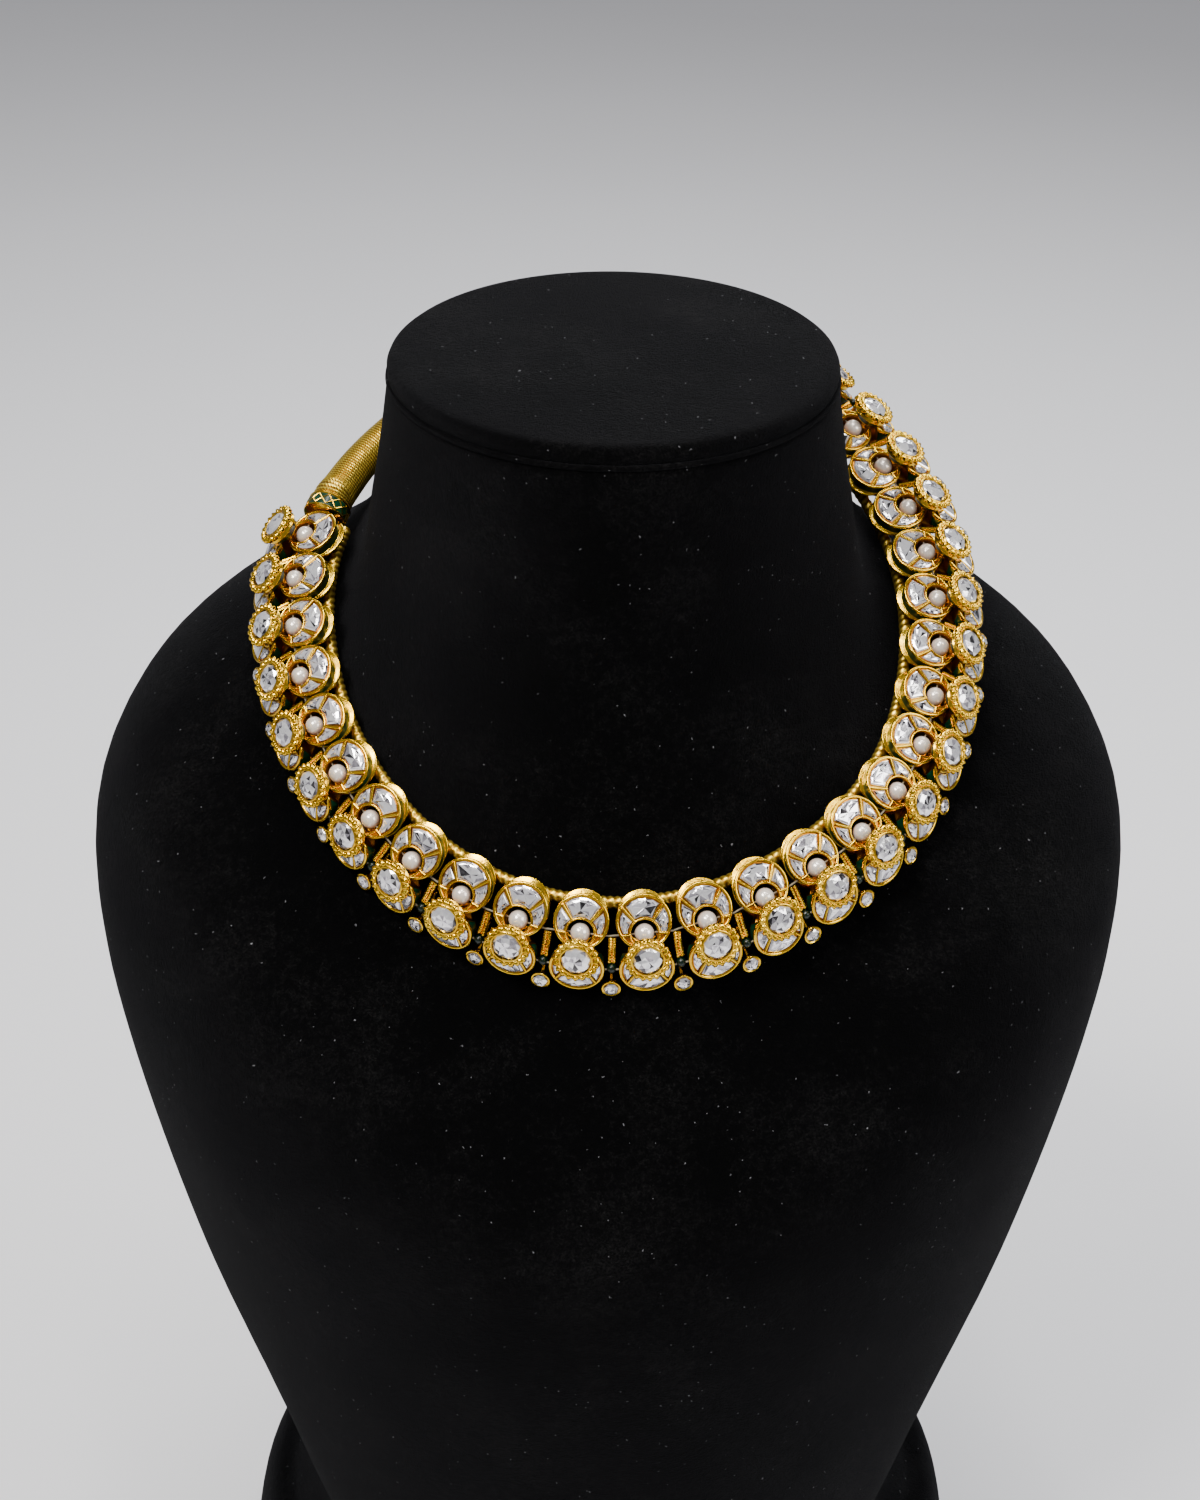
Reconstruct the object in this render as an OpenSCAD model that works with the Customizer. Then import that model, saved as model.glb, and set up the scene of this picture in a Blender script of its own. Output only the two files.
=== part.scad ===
// Kundan necklace of gold units with polki stones and pearls, on a velvet neck bust.
// The bust stands on z = 0 with its front towards -Y. All sizes are millimetres.

/* [Bust] */
// Height of the bust, from its foot to the seam of the neck cap
bust_height = 430; // [400:5:460]
// Radius of the neck at its top
neck_top_radius = 52; // [51:0.5:53]
// Wall of the padded velvet shell
shell_wall = 3; // [2:0.5:4]
// Thickness of the neck cap at its edge
cap_thickness = 5; // [4:0.5:8]
// Rise of the neck cap at its middle
cap_dome = 2; // [1:0.5:4]
// Thickness of the plate in the foot
foot_plate_thickness = 4; // [3:0.5:8]

/* [Necklace] */
// Number of gold units
unit_count = 27; // [25:1:27]
// Distance from the middle of the nape to the first unit, along the necklace
first_unit_run = 106.9; // [106:0.1:108]
// Pitch of the units at the front
front_pitch = 14.3; // [14.1:0.05:14.4]
// How much the pitch falls from the front to the ends
pitch_fall = 3.9; // [3:0.1:4.2]
// Smallest pitch
least_pitch = 13.1; // [13.1:0.05:13.4]
// Radius of the ribbed tube along the neck side
tube_radius = 1.35; // [1.2:0.05:1.45]
// Radius of the wound cord at the end collars
cord_end_radius = 5.1; // [4.5:0.1:5.3]
// Radius of the wound cord at the nape
cord_nape_radius = 3.2; // [2.8:0.1:3.4]

/* [Gold unit] */
// Radius of the round settings
setting_radius = 6.45; // [6.3:0.05:6.48]
// Height of the upper setting's face above the middle of the tube
face_height = 7; // [6.6:0.1:7.4]
// Distance from the tube to the middle of the upper setting
upper_out = 4.1; // [4:0.1:4.3]
// Depth of the enamelled side of the upper setting
enamel_depth = 3; // [2.6:0.1:3.2]
// Radius of the hole that holds the pearl
hole_radius = 3.2; // [3:0.05:3.25]
// Distance from the middle of the setting to the middle of its hole
hole_shift = 2.7; // [2.6:0.05:2.75]
// Slope of the lower setting below the upper one
lower_slope = 35; // [32:1:38]
// Distance from the tube to the middle of the lower setting
lower_out = 15.35; // [15.2:0.05:15.5]
// Height of the middle of the lower setting's face
lower_height = 4.6; // [4.4:0.1:4.8]
// Radius of the raised stud
stud_radius = 5; // [4.8:0.05:5.2]
// Slope of the raised stud
stud_slope = 24; // [20:1:28]
// Distance from the tube to the middle of the stud's face
stud_out = 12.6; // [12.4:0.1:12.8]
// Height of the stud's face above the middle of the tube
stud_height = 10.6; // [10.4:0.1:11]
// Radius of the stud's round stone
stud_stone_radius = 3.3; // [3:0.05:3.4]
// Radius of the pearls
pearl_radius = 2.3; // [2:0.05:2.35]

/* [Spacers] */
// Radius of each of the two bars of a spacer
bar_radius = 0.55; // [0.45:0.05:0.6]
// Radius of the small collet at the outer end of a spacer
collet_radius = 2.3; // [2:0.05:2.4]

/* [Hidden] */
$fn = 48;
gap = 0.15;

// Belts round the bust. Columns: drop below the seam of the neck cap and radius, each towards
// the front, 30 and 60 degrees from it, the side, 120 and 150 degrees from the front, and the back
BELTS = [
    // neck, under the cap
    [[5.3, 5.3, 5.3, 5.3, 5.3, 5.3, 5.3], [52.3, 52.3, 52.3, 52.3, 52.3, 52.3, 52.3]],
    // middle of the neck
    [[52, 51, 45, 35, 25, 17, 15], [53, 53, 54, 57, 56, 55, 55]],
    // root of the neck, inside the necklace
    [[106, 101, 83, 62.5, 43, 30, 27], [66, 66.5, 66, 64, 61, 57, 56]],
    // under the necklace's outer edge
    [[127, 122, 103, 76, 60, 52, 50], [78, 79, 83, 84, 76, 70, 67]],
    // upper chest and ridge of the shoulders
    [[153, 147, 128, 100, 88, 88, 90], [93, 99, 115, 122, 110, 87, 77]],
    // widest part
    [[196, 187, 166, 146, 146, 150, 155], [107, 112, 124, 132, 122, 96, 84]],
    // chest
    [[262, 260, 255, 250, 245, 240, 240], [104, 105, 109, 117, 109, 91, 82]],
    // lower chest
    [[325, 325, 325, 325, 325, 325, 325], [94, 94, 94, 91, 86, 80, 76]],
    // waist above the foot
    [[360, 360, 360, 360, 360, 360, 360], [84, 84, 85, 85, 81, 76, 73]],
    // top of the foot
    [[377, 377, 377, 377, 377, 377, 377], [82, 83, 89, 95, 95, 89, 86]],
    // shoulder of the foot
    [[391, 390, 388, 387, 387, 388, 388], [82, 85, 97, 106, 109, 103, 100]],
    // edge of the foot on the table
    [[430, 430, 430, 430, 430, 430, 430], [85, 90, 103, 113, 117, 111, 108]]];
// Columns of points round the bust, and rings of points between two belts outside and inside
bust_columns = 40;
outer_rings = 3;
inner_rings = 1;

// Line of the necklace along the middle of its tube.
// Columns: angle from the front, radius from the neck's axis, drop below the seam of the cap,
// slope of the necklace's face
LINE = [
    [-180, 61.3, 23.4, 73],
    [-150, 62, 30.3, 53],
    [-120, 65.1, 44.6, 15],
    [-90, 68.5, 61.4, 20],
    [-60, 69.1, 83.7, 42],
    [-30, 68.5, 100.6, 59],
    [0, 69.2, 106.6, 60],
    [30, 70.2, 101.8, 49],
    [60, 73, 88.4, 39],
    [90, 71.8, 66.6, 12],
    [120, 68.7, 47.5, -12],
    [150, 63.6, 30.3, 12]];
line_step = 360 / len(LINE);
arc_step = 3;
middle_unit = 10.5;
pitch_reach = 13;

// Heights in the unit, above the middle of the tube
under_height = -1.2;
base_top = 1.6;
drum_top = 3.4;
flange_top = face_height - enamel_depth;
// Radius and middle of the flange, which stands out on the neck side
flange_radius = 5.85;
flange_out = 2.65;
enamel_foot_radius = 6.1;
lower_foot_radius = 5.95;
drum_radius = 5.5;
drum_out = 4.7;
base_radius = 4.6;
base_out = upper_out + hole_shift - 0.2;
keel_radius = 4.4;
keel_out = 13.6;
keel_top = 1.8;
lower_depth = 3.4;
fold_out = 11.2;
stem_radius = 2;
stem_out = 12.1;
stem_top = 8;
stud_depth = 2.1;
cup_depth = 2.2;
cup_top_radius = 4.2;
cup_foot_radius = 2.4;
rim_width = 0.75;
cell_wall = 0.5;
cell_depth = 0.6;
stone_rise = 0.45;
stone_gap = 0.15;
// Rays from the middle of the hole that bound the cells of the crescent, from the neck side
centre_cell = [-34, 34];
side_cells = [[-90, -39], [39, 90]];
ray_steps = 4;
stud_sides = 10;

// Places of the threads in the unit's frame, out from the tube and above it
pearl_place = [6.8, 5.5];
bead_place = [14.75, 3.7];
thread_radius = 0.22;
thread_bore_radius = 0.35;
thread_reach = 6.6;
bead_thread_reach = 6.5;

// Places of a spacer's bars, link and collet in the frame halfway between two units
bar_start = [8.1, 5.1];
bar_end = [13, 4];
// Post that drops from the bars to the link under the lower settings
post_out = 10.3;
post_low = -0.4;
link_radius = 0.4;
// Where the lower settings stand closer than this, the spacers are shorter and smaller
roomy_pitch = 15.2;
collet_place = [20, 1];
collet_depth = 1.8;

// Collars at the ends of the row of units
collar_place = [4.6, 4];
collar_radius = 5.6;
collar_length = 4.4;
left_collar_run = 8.8;
right_collar_run = 9.3;
collar_clear = 2.6;
cord_lead = 2;
tube_lead = 5;
nape_offset = [1, 0];
slide_length = 9;
slide_wall = 1;
slide_slack = 0.6;

gold = "goldenrod";
pale_gold = "khaki";
polki = "gainsboro";
green_enamel = "darkgreen";
velvet = [0.08, 0.08, 0.09];

function unit_name(k) = str("unit_", k < 9 ? "0" : "", k + 1);
function wrap(k, n) = ((k % n) + n) % n;
function direction(v) = v / norm(v);
function mix(a, b, t) = a + (b - a) * t;

// Smooth curve through four neighbouring values, between the second and the third
function blend(p0, p1, p2, p3, t) =
    0.5 * (2 * p1 + (p2 - p0) * t + (2 * p0 - 5 * p1 + 4 * p2 - p3) * t * t
        + (3 * p1 - p0 - 3 * p2 + p3) * t * t * t);

// Values of the necklace's line at an angle: radius, drop and slope
function line_row(k) = LINE[wrap(k, len(LINE))];
function line_value(angle, column) =
    let (x = (angle + 180) / line_step, k = floor(x), t = x - k)
    blend(line_row(k - 1)[column], line_row(k)[column], line_row(k + 1)[column],
        line_row(k + 2)[column], t);
function line_point(angle) =
    let (r = line_value(angle, 1))
    [r * sin(angle), -r * cos(angle), bust_height - line_value(angle, 2)];

// Directions along the line, level and outwards, and across the face of the necklace
function along(angle) = direction(line_point(angle + 0.5) - line_point(angle - 0.5));
function level_up(angle) = let (t = along(angle)) direction([0, 0, 1] - t[2] * t);
function level_out(angle) = cross(along(angle), level_up(angle));
function face_up(angle) =
    let (s = line_value(angle, 3)) cos(s) * level_up(angle) + sin(s) * level_out(angle);
function face_out(angle) =
    let (s = line_value(angle, 3)) cos(s) * level_out(angle) - sin(s) * level_up(angle);
function necklace_point(angle, place) =
    line_point(angle) + place[0] * face_out(angle) + place[1] * face_up(angle);

// Run along the faces of the upper settings, from the middle of the nape
function face_point(k) = necklace_point(k * arc_step - 180, [upper_out, face_height]);
RUNS = [for (k = 0, s = 0; k * arc_step <= 360;
        s = s + norm(face_point(k + 1) - face_point(k)), k = k + 1) [s, k * arc_step - 180]];
function pitch_after(k) =
    let (q = (k + 0.5 - middle_unit) / pitch_reach)
    max(front_pitch - pitch_fall * q * q, least_pitch);
UNIT_RUNS = [for (k = 0, s = first_unit_run; k < unit_count; s = s + pitch_after(k), k = k + 1) s];
function angle_at(run) = lookup(run, RUNS);
UNIT_ANGLES = [for (s = UNIT_RUNS) angle_at(s)];
SPACER_ANGLES = [for (k = [0 : unit_count - 2]) angle_at((UNIT_RUNS[k] + UNIT_RUNS[k + 1]) / 2)];
left_collar_angle = angle_at(UNIT_RUNS[0] - left_collar_run);
right_collar_angle = angle_at(UNIT_RUNS[unit_count - 1] + right_collar_run);

// Point in a unit's own frame, whose x runs back along the line, as a point of the necklace
function unit_point(angle, p) = necklace_point(angle, [p[1], p[2]]) - p[0] * along(angle);

// Puts a piece into the frame of the necklace at an angle
module at_angle(angle) {
    x = -along(angle);
    y = face_out(angle);
    z = face_up(angle);
    p = line_point(angle);
    multmatrix([[x[0], y[0], z[0], p[0]], [x[1], y[1], z[1], p[1]], [x[2], y[2], z[2], p[2]]])
        children();
}

// Upright disc in a unit's frame, from one height to another
module disc(out, radius, low, high) {
    translate([0, out, low]) cylinder(r = radius, h = high - low);
}

// Frame of the lower setting's face, and of the stud's face
module on_lower_face() {
    translate([0, lower_out, lower_height]) rotate([-lower_slope, 0, 0]) children();
}
module on_stud_face() {
    translate([0, stud_out, stud_height]) rotate([-stud_slope, 0, 0]) children();
}

// Outline of a cell between two rays from the hole's middle, in the frame of a setting whose
// hole lies towards +y, drawn in by a margin
function ray_end(ray, margin) =
    hole_shift * cos(ray)
        + sqrt(pow(setting_radius - rim_width - margin, 2) - pow(hole_shift * sin(ray), 2));
function ray_point(ray, reach) = [reach * sin(ray), hole_shift - reach * cos(ray)];
function cell_outline(cell, margin) =
    let (
        inner = hole_radius + cell_wall + margin,
        turn = asin(margin / (inner + 1)),
        first = cell[0] + turn,
        last = cell[1] - turn)
    concat(
        [for (k = [0 : ray_steps])
            let (ray = mix(first, last, k / ray_steps)) ray_point(ray, ray_end(ray, margin))],
        [for (k = [2 : -1 : 0]) ray_point(mix(first, last, k / 2), inner)]);
function centre_of(points) =
    [for (c = [0, 1]) [for (p = points) p[c]] * [for (p = points) 1 / len(points)]];
cells = concat([centre_cell], side_cells);

// Faces of a closed solid made of rings of n points, from its first ring to its last
function ring_faces(n, rings) = [for (r = [0 : rings - 2], k = [0 : n - 1])
    for (half = [0, 1])
        half == 0 ? [r * n + k, (r + 1) * n + k, (r + 1) * n + (k + 1) % n]
                  : [r * n + k, (r + 1) * n + (k + 1) % n, r * n + (k + 1) % n]];
function end_faces(n, rings) = [
    [for (k = [0 : n - 1]) k],
    [for (k = [n - 1 : -1 : 0]) (rings - 1) * n + k]];

// Cut stone with a flat table: rings of points from its foot to its table
module cut_stone(rings) {
    n = len(rings[0]);
    polyhedron(points = [for (ring = rings, p = ring) p],
        faces = concat(ring_faces(n, len(rings)), end_faces(n, len(rings))));
}
module cell_stone(cell) {
    foot = cell_outline(cell, stone_gap);
    c = centre_of(foot);
    cut_stone([
        [for (p = foot) [p[0], p[1], stone_gap - cell_depth]],
        [for (p = foot) let (q = mix(c, p, 0.66)) [q[0], q[1], stone_rise]]]);
}

// Round setting: the cells sunk into its face
module cell_pockets() {
    for (cell = cells)
        translate([0, 0, -cell_depth]) linear_extrude(cell_depth + 1)
            polygon(cell_outline(cell, 0));
}

// One soldered gold unit
module gold_unit(k) {
    color(gold) at_angle(UNIT_ANGLES[k]) difference() {
        union() {
            translate([0, upper_out, flange_top])
                cylinder(r1 = enamel_foot_radius, r2 = setting_radius, h = enamel_depth);
            disc(flange_out, flange_radius, drum_top, flange_top + 0.1);
            disc(drum_out, drum_radius, base_top, drum_top + 0.1);
            disc(base_out, base_radius, under_height, base_top + 0.1);
            disc(keel_out, keel_radius, under_height, keel_top);
            difference() {
                on_lower_face() translate([0, 0, -lower_depth])
                    cylinder(r1 = lower_foot_radius, r2 = setting_radius, h = lower_depth);
                translate([-10, fold_out - 20, -10]) cube([20, 20, 30]);
                translate([-10, 0, under_height - 10]) cube([20, 30, 10]);
            }
            disc(stem_out, stem_radius, keel_top - 0.5, stem_top);
            on_stud_face() {
                translate([0, 0, -stud_depth]) cylinder(r = stud_radius, h = stud_depth);
                translate([0, 0, -stud_depth - cup_depth])
                    cylinder(r1 = cup_foot_radius, r2 = cup_top_radius, h = cup_depth + 0.1);
            }
        }
        disc(upper_out + hole_shift, hole_radius, under_height - 1, face_height + 0.3);
        translate([0, upper_out, face_height]) cell_pockets();
        on_lower_face() rotate([0, 0, 180]) cell_pockets();
        on_stud_face() translate([0, 0, -0.9])
            cylinder(r = stud_stone_radius + stone_gap, h = 2);
        for (place = [pearl_place, bead_place])
            translate([-10, place[0], place[1]]) rotate([0, 90, 0])
                cylinder(r = thread_bore_radius, h = 20);
    }
}

// Three polki stones in each upper setting
module upper_stones() {
    color(polki) for (a = UNIT_ANGLES)
        at_angle(a) translate([0, upper_out, face_height]) for (cell = cells) cell_stone(cell);
}

// Three polki stones in each lower setting
module lower_stones() {
    color(polki) for (a = UNIT_ANGLES)
        at_angle(a) on_lower_face() rotate([0, 0, 180]) for (cell = cells) cell_stone(cell);
}

// One round polki stone in each raised stud
function stone_ring(radius, height) = [for (k = [0 : stud_sides - 1])
    [radius * sin(k * 360 / stud_sides), -radius * cos(k * 360 / stud_sides), height]];
module stud_stones() {
    color(polki) for (a = UNIT_ANGLES)
        at_angle(a) on_stud_face() cut_stone([
            stone_ring(stud_stone_radius, -0.75),
            stone_ring(stud_stone_radius * 0.96, 0.3),
            stone_ring(stud_stone_radius * 0.55, 1.0)]);
}

// One drilled pearl in the hole of each upper setting
module pearls() {
    color("ivory") for (a = UNIT_ANGLES)
        at_angle(a) translate([0, pearl_place[0], pearl_place[1]]) difference() {
            sphere(r = pearl_radius);
            translate([-5, 0, 0]) rotate([0, 90, 0]) cylinder(r = thread_bore_radius, h = 10);
        }
}

// Tube swept along points, with a radius at each point
function sweep_ring(points, k, radius, sides) =
    let (
        before = points[max(k - 1, 0)],
        after = points[min(k + 1, len(points) - 1)],
        t = direction(after - before),
        side = direction(cross(t, [0, 0, 1])),
        up = cross(side, t))
    [for (j = [0 : sides - 1])
        points[k] + radius * (sin(j * 360 / sides) * side + cos(j * 360 / sides) * up)];
module swept_tube(points, radii, sides) {
    cut_stone([for (k = [0 : len(points) - 1]) sweep_ring(points, k, radii[k], sides)]);
}

// Thread that runs straight through each unit and bends in the gaps between them
module unit_thread(place, reach) {
    start = necklace_point(left_collar_angle, place) + collar_clear * along(left_collar_angle);
    finish = necklace_point(right_collar_angle, place) - collar_clear * along(right_collar_angle);
    inner = [for (a = UNIT_ANGLES, side = [1, -1])
        unit_point(a, [side * reach, place[0], place[1]])];
    points = concat([start], inner, [finish]);
    swept_tube(points, [for (p = points) thread_radius], 6);
}
module pearl_thread() {
    color("linen") unit_thread(pearl_place, thread_reach);
}
module bead_thread() {
    inner = [for (a = UNIT_ANGLES, side = [1, -1])
        unit_point(a, [side * bead_thread_reach, bead_place[0], bead_place[1]])];
    color("linen") swept_tube(inner, [for (p = inner) thread_radius], 6);
}

// Double bars between the units, each with its link and small collet
module bar(start, end) {
    run = end - start;
    translate([0, start[0], start[1]]) rotate([-90 + atan2(run[1], run[0]), 0, 0])
        linear_extrude(norm(run)) children();
}
module spacer(k) {
    room = norm(unit_point(UNIT_ANGLES[k + 1], [0, lower_out, lower_height])
        - unit_point(UNIT_ANGLES[k], [0, lower_out, lower_height]));
    crowd = min(max(roomy_pitch - room, 0), 1);
    start = bar_start + crowd * [0.3, 0];
    end = bar_end - crowd * [1.8, 0];
    radius = collet_radius - crowd * 0.3;
    bar(start, end) for (x = [-bar_radius * 0.8, bar_radius * 0.8])
        translate([x, 0]) circle(r = bar_radius, $fn = 8);
    translate([0, post_out, post_low]) cylinder(r = link_radius, h = end[1] + 0.5 - post_low, $fn = 6);
    bar([post_out - 0.5, post_low], [collet_place[0] - 1, post_low]) circle(r = link_radius, $fn = 8);
    translate([0, collet_place[0] + crowd * 0.3, collet_place[1]]) rotate([-lower_slope, 0, 0]) {
        translate([0, 0, -collet_depth]) cylinder(r = radius * 0.7, h = collet_depth);
        translate([0, 0, -collet_depth * 0.55]) cylinder(r = radius, h = collet_depth * 0.55);
    }
}
module spacers() {
    color(pale_gold) for (k = [0 : unit_count - 2]) at_angle(SPACER_ANGLES[k]) spacer(k);
}

// Ribbed tube along the neck side
module neck_tube() {
    steps = 72;
    start = line_point(left_collar_angle) + collar_clear * along(left_collar_angle);
    finish = line_point(right_collar_angle) - collar_clear * along(right_collar_angle);
    first = UNIT_RUNS[0] - tube_lead;
    run = UNIT_RUNS[unit_count - 1] + tube_lead - first;
    inner = [for (k = [0 : steps]) line_point(angle_at(first + run * k / steps))];
    points = concat([start], inner, [finish]);
    color(gold) swept_tube(points, [for (p = points) tube_radius], 8);
}

// Enamelled collars at the ends of the row of units
module end_collar(angle) {
    half = collar_length / 2;
    at_angle(angle) translate([0, collar_place[0], collar_place[1]]) rotate([0, 90, 0])
        rotate_extrude() polygon([
            [0, -half], [collar_radius - 0.7, -half], [collar_radius, -half + 0.6],
            [collar_radius, half - 0.6], [collar_radius - 0.7, half], [0, half]]);
}
module left_collar() {
    color(green_enamel) end_collar(left_collar_angle);
}
module right_collar() {
    color(green_enamel) end_collar(right_collar_angle);
}

// Cord wound with gold thread, from collar to collar round the nape. The offset of its middle
// from the necklace's line, outwards and up, is that of the collar at first and eases off
function collar_offset(angle) =
    let (p = necklace_point(angle, collar_place), q = line_point(angle))
    [norm([p[0], p[1]]) - norm([q[0], q[1]]), p[2] - q[2]];
function nape_share(angle, side) = (1 - cos(180 * (abs(angle) - abs(side)) / (180 - abs(side)))) / 2;
function nape_point(angle) =
    let (
        side = angle < 0 ? left_collar_angle : right_collar_angle,
        offset = mix(collar_offset(side), nape_offset, nape_share(angle, side)),
        r = line_value(angle, 1) + offset[0])
    [r * sin(angle), -r * cos(angle), line_point(angle)[2] + offset[1]];
function nape_radius(angle) =
    let (side = angle < 0 ? left_collar_angle : right_collar_angle)
    mix(cord_end_radius, cord_nape_radius, sqrt(nape_share(angle, side)));
module nape_cord() {
    steps = 20;
    start = right_collar_angle;
    turn = 360 + left_collar_angle - start;
    inner = [for (k = [1 : steps - 1])
        let (a = start + turn * k / steps) a > 180 ? a - 360 : a];
    begin = necklace_point(start, collar_place);
    end = necklace_point(left_collar_angle, collar_place);
    far = collar_clear + cord_lead;
    points = concat(
        [begin + collar_clear * along(start), begin + far * along(start)],
        [for (a = inner) nape_point(a)],
        [end - far * along(left_collar_angle), end - collar_clear * along(left_collar_angle)]);
    radii = concat(
        [cord_end_radius, cord_end_radius],
        [for (a = inner) nape_radius(a)],
        [cord_end_radius, cord_end_radius]);
    color(gold) swept_tube(points, radii, 12);
}

// Plain slide that closes the cord at the nape
module cord_slide() {
    color(gold) translate(nape_point(-180)) translate([-slide_length / 2, 0, 0])
        rotate([0, 90, 0]) difference() {
            cylinder(r = cord_nape_radius + slide_slack + slide_wall, h = slide_length);
            translate([0, 0, -1]) cylinder(r = cord_nape_radius + slide_slack, h = slide_length + 2);
        }
}

// Point of the bust's surface at a height among the belts and a turn in sixths of a half circle
function belt_value(belt, kind, column) =
    let (c = wrap(column, 12), m = c > 6 ? 12 - c : c)
    BELTS[min(max(belt, 0), len(BELTS) - 1)][kind][m];
function belt_blend(belt, kind, turn) =
    let (k = floor(turn), t = turn - k)
    blend(belt_value(belt, kind, k - 1), belt_value(belt, kind, k), belt_value(belt, kind, k + 1),
        belt_value(belt, kind, k + 2), t);
function bust_value(height, kind, turn) =
    let (k = min(floor(height), len(BELTS) - 2), t = height - k)
    blend(belt_blend(k - 1, kind, turn), belt_blend(k, kind, turn),
        belt_blend(k + 1, kind, turn), belt_blend(k + 2, kind, turn), t);
function bust_point(height, turn) =
    let (r = bust_value(height, 1, turn), a = turn * 30)
    [r * sin(a), -r * cos(a), bust_height - bust_value(height, 0, turn)];
function bust_inward(height, turn) =
    let (
        last = len(BELTS) - 1,
        down = bust_point(min(height + 0.05, last), turn) - bust_point(max(height - 0.05, 0), turn),
        round = bust_point(height, turn + 0.05) - bust_point(height, turn - 0.05))
    direction(cross(round, down));

// Hollow shell of the bust, open at the neck and under the foot
module bust_shell() {
    belts = len(BELTS) - 1;
    outer = [for (k = [belts * outer_rings : -1 : 0])
        [for (j = [0 : bust_columns - 1]) bust_point(k / outer_rings, j * 12 / bust_columns)]];
    inner = [for (k = [0 : belts * inner_rings])
        [for (j = [0 : bust_columns - 1])
            let (
                h = k / inner_rings,
                t = j * 12 / bust_columns,
                p = bust_point(h, t),
                q = p + shell_wall * bust_inward(h, t),
                z = k == 0 || k == belts * inner_rings ? p[2] : q[2])
            [q[0], q[1], z]]];
    rings = concat(outer, inner, [outer[0]]);
    n = bust_columns;
    count = len(rings) - 1;
    color(velvet) polyhedron(
        points = [for (r = [0 : count - 1]) each rings[r]],
        faces = [for (r = [0 : count - 1], k = [0 : n - 1], half = [0, 1])
            let (
                a = r * n + k,
                b = r * n + (k + 1) % n,
                c = ((r + 1) % count) * n + k,
                d = ((r + 1) % count) * n + (k + 1) % n)
            half == 0 ? [a, c, d] : [a, d, b]]);
}

// Cap on top of the neck, with a low dome and a rounded edge
module neck_cap() {
    low = -cap_thickness;
    steps = 6;
    dome = [for (k = [0 : steps])
        let (t = k / steps) [(neck_top_radius - 1.2) * t, cap_dome * (1 - t * t)]];
    color(velvet) translate([0, 0, bust_height]) rotate_extrude($fn = 72) polygon(concat(
        [[0, low]], dome, [[neck_top_radius, -0.9], [neck_top_radius, low]]));
}

// Plate that closes the foot
module foot_plate() {
    last = len(BELTS) - 1;
    outline = [for (j = [0 : bust_columns - 1])
        let (
            t = j * 12 / bust_columns,
            p = bust_point(last, t),
            q = p + (shell_wall + 1.15) * bust_inward(last, t))
        [q[0], q[1]]];
    color(velvet) linear_extrude(foot_plate_thickness) polygon(outline);
}

for (k = [0 : unit_count - 1])
    gold_unit(k);
upper_stones();
stud_stones();
lower_stones();
pearls();
pearl_thread();
spacers();
bead_thread();
neck_tube();
left_collar();
right_collar();
nape_cord();
cord_slide();
bust_shell();
neck_cap();
foot_plate();
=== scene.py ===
"""Looks of the kundan necklace on its black velvet neck bust.

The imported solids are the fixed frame. Pieces are shaped in millimetres in the frames of the
necklace, turned into metres when they are finished, and stand for the plain solids.
"""
import bisect
import math
import random

import bmesh
import bpy
from mathutils import Matrix, Vector


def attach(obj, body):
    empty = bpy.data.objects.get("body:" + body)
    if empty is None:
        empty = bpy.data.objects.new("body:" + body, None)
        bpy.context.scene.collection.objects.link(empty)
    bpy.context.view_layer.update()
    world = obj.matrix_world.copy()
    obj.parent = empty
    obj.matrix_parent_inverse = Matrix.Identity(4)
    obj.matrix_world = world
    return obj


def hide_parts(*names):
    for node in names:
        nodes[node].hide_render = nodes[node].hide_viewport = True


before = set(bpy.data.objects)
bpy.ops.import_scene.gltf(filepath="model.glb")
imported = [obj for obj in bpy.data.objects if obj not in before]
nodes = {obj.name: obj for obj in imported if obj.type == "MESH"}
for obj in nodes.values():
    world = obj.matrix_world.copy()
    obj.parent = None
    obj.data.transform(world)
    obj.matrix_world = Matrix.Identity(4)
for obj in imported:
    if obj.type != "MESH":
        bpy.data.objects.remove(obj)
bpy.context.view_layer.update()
MILLIMETRE = 0.001

# Sizes of the necklace, in millimetres, as in the part's source
BUST_HEIGHT = 430
UNIT_COUNT = 27
SETTING_RADIUS = 6.45
FACE_HEIGHT = 7
UPPER_OUT = 4.1
HOLE_RADIUS = 3.2
HOLE_SHIFT = 2.7
LOWER_SLOPE = math.radians(35)
LOWER_OUT = 15.35
LOWER_HEIGHT = 4.6
STUD_SLOPE = math.radians(24)
STUD_OUT = 12.6
STUD_HEIGHT = 10.6
TUBE_RADIUS = 1.35
CORD_END_RADIUS = 5.1
CORD_NAPE_RADIUS = 3.2
RIM_WIDTH = 0.75
CELL_WALL = 0.5
CELLS = [(-34, 34), (-90, -39), (39, 90)]
PEARL_PLACE = (6.8, 5.5)
PEARL_RADIUS = 2.3
BEAD_PLACE = (14.75, 3.7)
COLLAR_PLACE = (4.6, 4)
COLLAR_LENGTH = 4.4
COLLAR_CLEAR = 2.6
CORD_LEAD = 2
FIRST_UNIT_RUN = 106.9
MIDDLE_UNIT = 10.5
PITCH_REACH = 13
FRONT_PITCH = 14.3
PITCH_FALL = 3.9
LEAST_PITCH = 13.1
ROOMY_PITCH = 15.2
LEFT_END_ROOM = 8.8
RIGHT_END_ROOM = 9.3
BUST_WALL = 3

# Steps along the swept tube and cord, and the length of one turn of their windings
TUBE_STEP = 0.42
TUBE_TWIST = 1.7
CORD_STEP = 0.19
CORD_RIB = 0.76

# Angle between the rows of the line and of the belts, and between the measured runs
TABLE_ANGLE = 30
RUN_ANGLE = 3

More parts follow.
